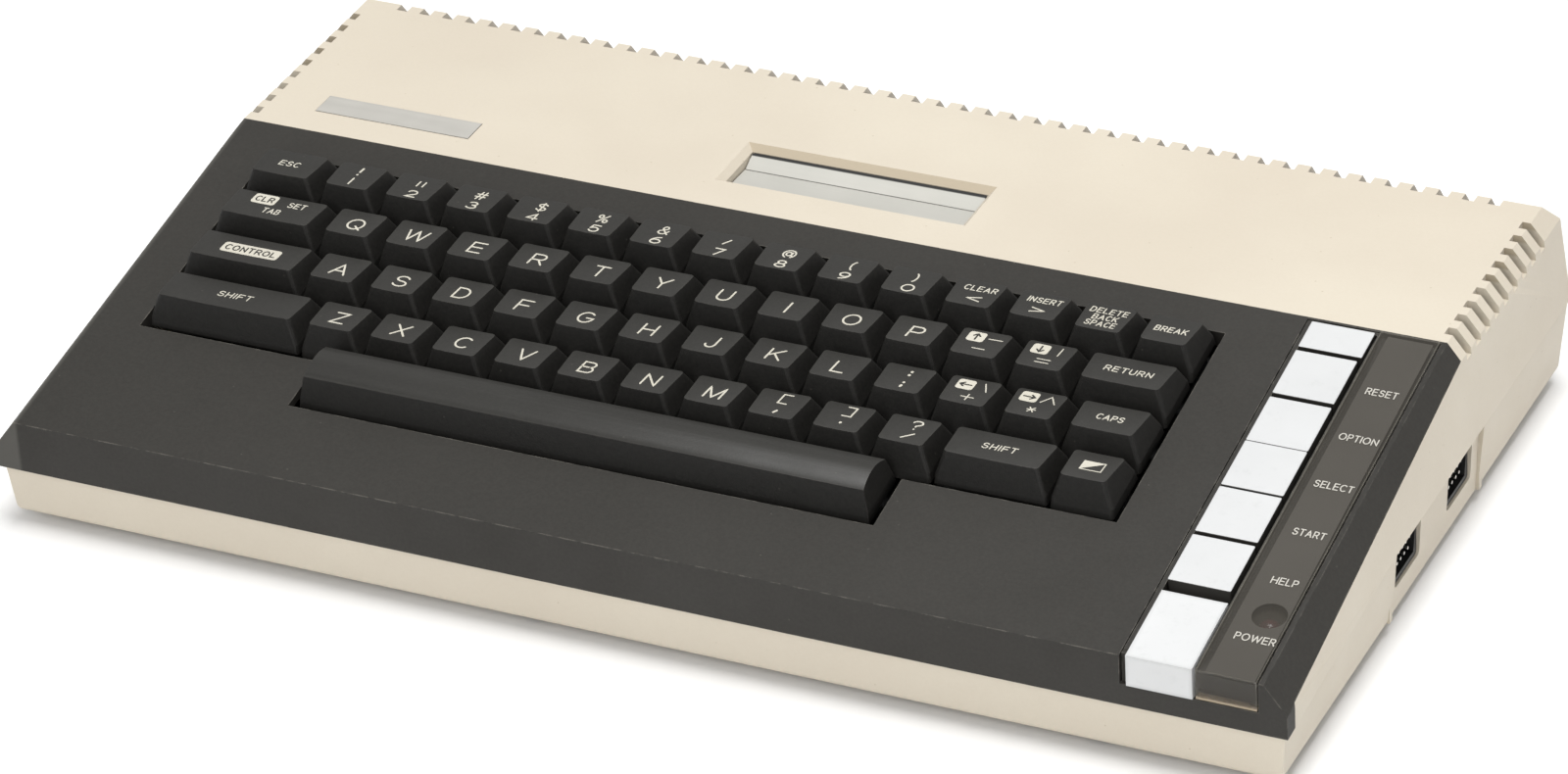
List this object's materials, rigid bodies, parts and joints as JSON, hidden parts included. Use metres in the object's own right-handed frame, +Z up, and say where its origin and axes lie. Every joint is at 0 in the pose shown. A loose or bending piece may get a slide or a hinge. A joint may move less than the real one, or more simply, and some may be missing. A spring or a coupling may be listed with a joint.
{
  "type": "home computer",
  "caption": "Home computer in one low case with a sloping keyboard, a strip of console buttons, a cartridge slot and controller ports.",
  "frame": {"origin": "on the table under the middle of the case", "axes": "+X to the user's right, +Y to the rear, +Z up"},
  "size_m": [0.38, 0.2206, 0.0614],
  "materials": {
    "beige_plastic": "fine grained",
    "dark_plastic": "fine grained",
    "key_plastic": "fine grained",
    "silver_plastic": "satin silver",
    "smoked_plastic": "smoked, clear",
    "black_plastic": "plain",
    "aluminium": "satin",
    "steel": "zinc plated",
    "pin_metal": "tinned",
    "board": "lacquered",
    "ribbon": "plain",
    "led": "clear red",
    "rubber": "matte"
  },
  "bodies": {
    "case": {"bottom_case": "beige_plastic", "top_case": "beige_plastic", "keyboard_surround": "dark_plastic", "case_screws": "steel", "rubber_feet": "rubber", "nameplate": "aluminium", "cartridge_connector": "black_plastic", "console_frame": "dark_plastic", "console_end_cap": "silver_plastic", "console_front_block": "silver_plastic", "console_lens": "smoked_plastic", "power_led": "led", "console_board": "board", "keyboard_plate": "steel", "key_switches": "black_plastic", "keyboard_board": "board", "keyboard_ribbon": "ribbon", "keyboard_screws": "steel", "space_bar_wire": "steel", "main_board": "board", "main_chips": "black_plastic", "rf_shield": "steel", "board_screws": "steel", "controller_ports": "black_plastic", "controller_pins": "pin_metal", "power_inlet": "black_plastic", "monitor_socket": "black_plastic", "tv_jack": "steel", "channel_switch": "steel", "power_switch": "black_plastic", "peripheral_port": "black_plastic", "expansion_cover": "dark_plastic"},
    "esc_key": {"esc_key": "key_plastic"},
    "number_keys": {"number_keys": "key_plastic"},
    "clear_key": {"clear_key": "key_plastic"},
    "insert_key": {"insert_key": "key_plastic"},
    "backspace_key": {"backspace_key": "key_plastic"},
    "break_key": {"break_key": "key_plastic"},
    "tab_key": {"tab_key": "key_plastic"},
    "upper_letter_keys": {"upper_letter_keys": "key_plastic"},
    "return_key": {"return_key": "key_plastic"},
    "control_key": {"control_key": "key_plastic"},
    "home_letter_keys": {"home_letter_keys": "key_plastic"},
    "caps_key": {"caps_key": "key_plastic"},
    "left_shift_key": {"left_shift_key": "key_plastic"},
    "lower_letter_keys": {"lower_letter_keys": "key_plastic"},
    "right_shift_key": {"right_shift_key": "key_plastic"},
    "inverse_key": {"inverse_key": "key_plastic"},
    "space_bar": {"space_bar": "key_plastic"},
    "reset_button": {"reset_button": "silver_plastic"},
    "option_button": {"option_button": "silver_plastic"},
    "select_button": {"select_button": "silver_plastic"},
    "start_button": {"start_button": "silver_plastic"},
    "help_button": {"help_button": "silver_plastic"},
    "cartridge_rear_door": {"cartridge_rear_door": "aluminium"},
    "cartridge_front_door": {"cartridge_front_door": "aluminium"},
    "power_rocker": {"power_rocker": "dark_plastic"},
    "channel_slider": {"channel_slider": "black_plastic"}
  },
  "joints": [
    {"name": "esc_key_press", "type": "slide", "parent": "case", "child": "esc_key", "axis": [0, 0.1695, -0.9855], "range_m": [0, 0.0035], "stiffness_N_per_m": 100, "springref_m": -0.003},
    {"name": "number_keys_press", "type": "slide", "parent": "case", "child": "number_keys", "axis": [0, 0.1695, -0.9855], "range_m": [0, 0.0035], "stiffness_N_per_m": 1000, "springref_m": -0.003},
    {"name": "clear_key_press", "type": "slide", "parent": "case", "child": "clear_key", "axis": [0, 0.1695, -0.9855], "range_m": [0, 0.0035], "stiffness_N_per_m": 100, "springref_m": -0.003},
    {"name": "insert_key_press", "type": "slide", "parent": "case", "child": "insert_key", "axis": [0, 0.1695, -0.9855], "range_m": [0, 0.0035], "stiffness_N_per_m": 100, "springref_m": -0.003},
    {"name": "backspace_key_press", "type": "slide", "parent": "case", "child": "backspace_key", "axis": [0, 0.1695, -0.9855], "range_m": [0, 0.0035], "stiffness_N_per_m": 100, "springref_m": -0.003},
    {"name": "break_key_press", "type": "slide", "parent": "case", "child": "break_key", "axis": [0, 0.1695, -0.9855], "range_m": [0, 0.0035], "stiffness_N_per_m": 100, "springref_m": -0.003},
    {"name": "tab_key_press", "type": "slide", "parent": "case", "child": "tab_key", "axis": [0, 0.1695, -0.9855], "range_m": [0, 0.0035], "stiffness_N_per_m": 100, "springref_m": -0.003},
    {"name": "upper_letter_keys_press", "type": "slide", "parent": "case", "child": "upper_letter_keys", "axis": [0, 0.1695, -0.9855], "range_m": [0, 0.0035], "stiffness_N_per_m": 1200, "springref_m": -0.003},
    {"name": "return_key_press", "type": "slide", "parent": "case", "child": "return_key", "axis": [0, 0.1695, -0.9855], "range_m": [0, 0.0035], "stiffness_N_per_m": 100, "springref_m": -0.003},
    {"name": "control_key_press", "type": "slide", "parent": "case", "child": "control_key", "axis": [0, 0.1695, -0.9855], "range_m": [0, 0.0035], "stiffness_N_per_m": 100, "springref_m": -0.003},
    {"name": "home_letter_keys_press", "type": "slide", "parent": "case", "child": "home_letter_keys", "axis": [0, 0.1695, -0.9855], "range_m": [0, 0.0035], "stiffness_N_per_m": 1200, "springref_m": -0.003},
    {"name": "caps_key_press", "type": "slide", "parent": "case", "child": "caps_key", "axis": [0, 0.1695, -0.9855], "range_m": [0, 0.0035], "stiffness_N_per_m": 100, "springref_m": -0.003},
    {"name": "left_shift_key_press", "type": "slide", "parent": "case", "child": "left_shift_key", "axis": [0, 0.1695, -0.9855], "range_m": [0, 0.0035], "stiffness_N_per_m": 100, "springref_m": -0.003},
    {"name": "lower_letter_keys_press", "type": "slide", "parent": "case", "child": "lower_letter_keys", "axis": [0, 0.1695, -0.9855], "range_m": [0, 0.0035], "stiffness_N_per_m": 1000, "springref_m": -0.003},
    {"name": "right_shift_key_press", "type": "slide", "parent": "case", "child": "right_shift_key", "axis": [0, 0.1695, -0.9855], "range_m": [0, 0.0035], "stiffness_N_per_m": 100, "springref_m": -0.003},
    {"name": "inverse_key_press", "type": "slide", "parent": "case", "child": "inverse_key", "axis": [0, 0.1695, -0.9855], "range_m": [0, 0.0035], "stiffness_N_per_m": 100, "springref_m": -0.003},
    {"name": "space_bar_press", "type": "slide", "parent": "case", "child": "space_bar", "axis": [0, 0.1695, -0.9855], "range_m": [0, 0.0035], "stiffness_N_per_m": 100, "springref_m": -0.003},
    {"name": "reset_button_press", "type": "slide", "parent": "case", "child": "reset_button", "axis": [0, 0.1695, -0.9855], "range_m": [0, 0.0018], "stiffness_N_per_m": 300, "springref_m": -0.002},
    {"name": "option_button_press", "type": "slide", "parent": "case", "child": "option_button", "axis": [0, 0.1695, -0.9855], "range_m": [0, 0.0018], "stiffness_N_per_m": 300, "springref_m": -0.002},
    {"name": "select_button_press", "type": "slide", "parent": "case", "child": "select_button", "axis": [0, 0.1695, -0.9855], "range_m": [0, 0.0018], "stiffness_N_per_m": 300, "springref_m": -0.002},
    {"name": "start_button_press", "type": "slide", "parent": "case", "child": "start_button", "axis": [0, 0.1695, -0.9855], "range_m": [0, 0.0018], "stiffness_N_per_m": 300, "springref_m": -0.002},
    {"name": "help_button_press", "type": "slide", "parent": "case", "child": "help_button", "axis": [0, 0.1695, -0.9855], "range_m": [0, 0.0018], "stiffness_N_per_m": 300, "springref_m": -0.002},
    {"name": "cartridge_rear_door_hinge", "type": "hinge", "parent": "case", "child": "cartridge_rear_door", "pos_m": [-0.0012, 0.0593, 0.05394], "axis": [1, 0, 0], "range_deg": [0, 65], "stiffness_Nm_per_rad": 0.003, "springref_deg": -28.65},
    {"name": "cartridge_front_door_hinge", "type": "hinge", "parent": "case", "child": "cartridge_front_door", "pos_m": [-0.0012, 0.0441, 0.05265], "axis": [-1, 0, 0], "range_deg": [0, 80], "stiffness_Nm_per_rad": 0.003, "springref_deg": -28.65},
    {"name": "power_rocker_tilt", "type": "hinge", "parent": "case", "child": "power_rocker", "pos_m": [-0.14, 0.103, 0.018], "axis": [-1, 0, 0], "range_deg": [0, 16]},
    {"name": "channel_slider_slide", "type": "slide", "parent": "case", "child": "channel_slider", "axis": [1, 0, 0], "range_m": [0, 0.004]}
  ]
}
